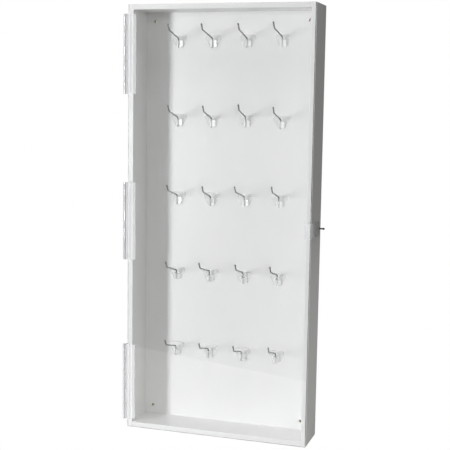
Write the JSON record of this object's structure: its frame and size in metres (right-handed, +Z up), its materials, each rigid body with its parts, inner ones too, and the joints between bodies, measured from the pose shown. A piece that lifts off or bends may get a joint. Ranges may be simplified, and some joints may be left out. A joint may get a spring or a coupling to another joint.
{
  "type": "jewelry armoire",
  "caption": "Shallow wall-hung white necklace cabinet with a clear hinged door, a side latch pin and rows of swivelling wire hooks.",
  "frame": {"origin": "middle of the four wall-screw holes, on the back face of the case", "axes": "+X to the right, +Y into the wall, +Z up"},
  "size_m": [0.3244, 0.076, 0.687],
  "materials": {
    "white_lacquer": "smooth white lacquer on fibreboard, satin gloss",
    "clear_acrylic": "clear cast acrylic with polished edges",
    "milky_acrylic": "translucent milky acrylic hinge strip",
    "clear_socket_plastic": "clear moulded plastic",
    "bright_steel": "drawn steel rod",
    "hook_chrome": "bright plated wire"
  },
  "bodies": {
    "case": {"back_panel": "white_lacquer", "left_side": "white_lacquer", "right_side": "white_lacquer", "top_panel": "white_lacquer", "bottom_panel": "white_lacquer", "hinge_case_leaf_upper": "milky_acrylic", "hinge_case_leaf_middle": "milky_acrylic", "hinge_case_leaf_lower": "milky_acrylic", "hinge_pin_upper": "bright_steel", "hinge_pin_middle": "bright_steel", "hinge_pin_lower": "bright_steel", "hook_base_r1c1": "clear_socket_plastic", "hook_base_r1c2": "clear_socket_plastic", "hook_base_r1c3": "clear_socket_plastic", "hook_base_r1c4": "clear_socket_plastic", "hook_base_r2c1": "clear_socket_plastic", "hook_base_r2c2": "clear_socket_plastic", "hook_base_r2c3": "clear_socket_plastic", "hook_base_r2c4": "clear_socket_plastic", "hook_base_r3c1": "clear_socket_plastic", "hook_base_r3c2": "clear_socket_plastic", "hook_base_r3c3": "clear_socket_plastic", "hook_base_r3c4": "clear_socket_plastic", "hook_base_r4c1": "clear_socket_plastic", "hook_base_r4c2": "clear_socket_plastic", "hook_base_r4c3": "clear_socket_plastic", "hook_base_r4c4": "clear_socket_plastic", "hook_base_r5c1": "clear_socket_plastic", "hook_base_r5c2": "clear_socket_plastic", "hook_base_r5c3": "clear_socket_plastic", "hook_base_r5c4": "clear_socket_plastic"},
    "door": {"door_panel": "clear_acrylic", "hinge_door_leaf_upper": "milky_acrylic", "hinge_door_leaf_middle": "milky_acrylic", "hinge_door_leaf_lower": "milky_acrylic", "latch_hasp": "clear_acrylic"},
    "latch_pin": {"latch_pin": "bright_steel"},
    "hook_r1c1": {"hook_wire_r1c1": "hook_chrome"},
    "hook_r1c2": {"hook_wire_r1c2": "hook_chrome"},
    "hook_r1c3": {"hook_wire_r1c3": "hook_chrome"},
    "hook_r1c4": {"hook_wire_r1c4": "hook_chrome"},
    "hook_r2c1": {"hook_wire_r2c1": "hook_chrome"},
    "hook_r2c2": {"hook_wire_r2c2": "hook_chrome"},
    "hook_r2c3": {"hook_wire_r2c3": "hook_chrome"},
    "hook_r2c4": {"hook_wire_r2c4": "hook_chrome"},
    "hook_r3c1": {"hook_wire_r3c1": "hook_chrome"},
    "hook_r3c2": {"hook_wire_r3c2": "hook_chrome"},
    "hook_r3c3": {"hook_wire_r3c3": "hook_chrome"},
    "hook_r3c4": {"hook_wire_r3c4": "hook_chrome"},
    "hook_r4c1": {"hook_wire_r4c1": "hook_chrome"},
    "hook_r4c2": {"hook_wire_r4c2": "hook_chrome"},
    "hook_r4c3": {"hook_wire_r4c3": "hook_chrome"},
    "hook_r4c4": {"hook_wire_r4c4": "hook_chrome"},
    "hook_r5c1": {"hook_wire_r5c1": "hook_chrome"},
    "hook_r5c2": {"hook_wire_r5c2": "hook_chrome"},
    "hook_r5c3": {"hook_wire_r5c3": "hook_chrome"},
    "hook_r5c4": {"hook_wire_r5c4": "hook_chrome"}
  },
  "joints": [
    {"name": "door_hinge", "type": "hinge", "parent": "case", "child": "door", "pos_m": [-0.15455, -0.07305, 0], "axis": [0, 0, -1], "range_deg": [0, 180]},
    {"name": "latch_pin_slide", "type": "slide", "parent": "door", "child": "latch_pin", "axis": [-1, 0, 0], "range_m": [0, 0.0065]},
    {"name": "hook_swivel_r1c1", "type": "hinge", "parent": "case", "child": "hook_r1c1", "pos_m": [-0.08625, -0.01505, 0.2938], "axis": [0, 0, 1], "range_deg": [-79, 81]},
    {"name": "hook_swivel_r1c2", "type": "hinge", "parent": "case", "child": "hook_r1c2", "pos_m": [-0.02875, -0.01505, 0.2938], "axis": [0, 0, 1], "range_deg": [-76, 84]},
    {"name": "hook_swivel_r1c3", "type": "hinge", "parent": "case", "child": "hook_r1c3", "pos_m": [0.02875, -0.01505, 0.2938], "axis": [0, 0, 1], "range_deg": [-79, 81]},
    {"name": "hook_swivel_r1c4", "type": "hinge", "parent": "case", "child": "hook_r1c4", "pos_m": [0.08625, -0.01505, 0.2938], "axis": [0, 0, 1], "range_deg": [-77, 83]},
    {"name": "hook_swivel_r2c1", "type": "hinge", "parent": "case", "child": "hook_r2c1", "pos_m": [-0.08625, -0.01505, 0.1671], "axis": [0, 0, 1], "range_deg": [-80, 80]},
    {"name": "hook_swivel_r2c2", "type": "hinge", "parent": "case", "child": "hook_r2c2", "pos_m": [-0.02875, -0.01505, 0.1671], "axis": [0, 0, 1], "range_deg": [-81, 79]},
    {"name": "hook_swivel_r2c3", "type": "hinge", "parent": "case", "child": "hook_r2c3", "pos_m": [0.02875, -0.01505, 0.1671], "axis": [0, 0, 1], "range_deg": [-82, 78]},
    {"name": "hook_swivel_r2c4", "type": "hinge", "parent": "case", "child": "hook_r2c4", "pos_m": [0.08625, -0.01505, 0.1671], "axis": [0, 0, 1], "range_deg": [-80, 80]},
    {"name": "hook_swivel_r3c1", "type": "hinge", "parent": "case", "child": "hook_r3c1", "pos_m": [-0.08625, -0.01505, 0.0404], "axis": [0, 0, 1], "range_deg": [-79, 81]},
    {"name": "hook_swivel_r3c2", "type": "hinge", "parent": "case", "child": "hook_r3c2", "pos_m": [-0.02875, -0.01505, 0.0404], "axis": [0, 0, 1], "range_deg": [-82, 78]},
    {"name": "hook_swivel_r3c3", "type": "hinge", "parent": "case", "child": "hook_r3c3", "pos_m": [0.02875, -0.01505, 0.0404], "axis": [0, 0, 1], "range_deg": [-77, 83]},
    {"name": "hook_swivel_r3c4", "type": "hinge", "parent": "case", "child": "hook_r3c4", "pos_m": [0.08625, -0.01505, 0.0404], "axis": [0, 0, 1], "range_deg": [-80, 80]},
    {"name": "hook_swivel_r4c1", "type": "hinge", "parent": "case", "child": "hook_r4c1", "pos_m": [-0.08625, -0.01505, -0.0863], "axis": [0, 0, 1], "range_deg": [-78, 82]},
    {"name": "hook_swivel_r4c2", "type": "hinge", "parent": "case", "child": "hook_r4c2", "pos_m": [-0.02875, -0.01505, -0.0863], "axis": [0, 0, 1], "range_deg": [-77, 83]},
    {"name": "hook_swivel_r4c3", "type": "hinge", "parent": "case", "child": "hook_r4c3", "pos_m": [0.02875, -0.01505, -0.0863], "axis": [0, 0, 1], "range_deg": [-81, 79]},
    {"name": "hook_swivel_r4c4", "type": "hinge", "parent": "case", "child": "hook_r4c4", "pos_m": [0.08625, -0.01505, -0.0863], "axis": [0, 0, 1], "range_deg": [-80, 80]},
    {"name": "hook_swivel_r5c1", "type": "hinge", "parent": "case", "child": "hook_r5c1", "pos_m": [-0.08625, -0.01505, -0.213], "axis": [0, 0, 1], "range_deg": [-78, 82]},
    {"name": "hook_swivel_r5c2", "type": "hinge", "parent": "case", "child": "hook_r5c2", "pos_m": [-0.02875, -0.01505, -0.213], "axis": [0, 0, 1], "range_deg": [-79, 81]},
    {"name": "hook_swivel_r5c3", "type": "hinge", "parent": "case", "child": "hook_r5c3", "pos_m": [0.02875, -0.01505, -0.213], "axis": [0, 0, 1], "range_deg": [-79, 81]},
    {"name": "hook_swivel_r5c4", "type": "hinge", "parent": "case", "child": "hook_r5c4", "pos_m": [0.08625, -0.01505, -0.213], "axis": [0, 0, 1], "range_deg": [-80, 80]}
  ]
}
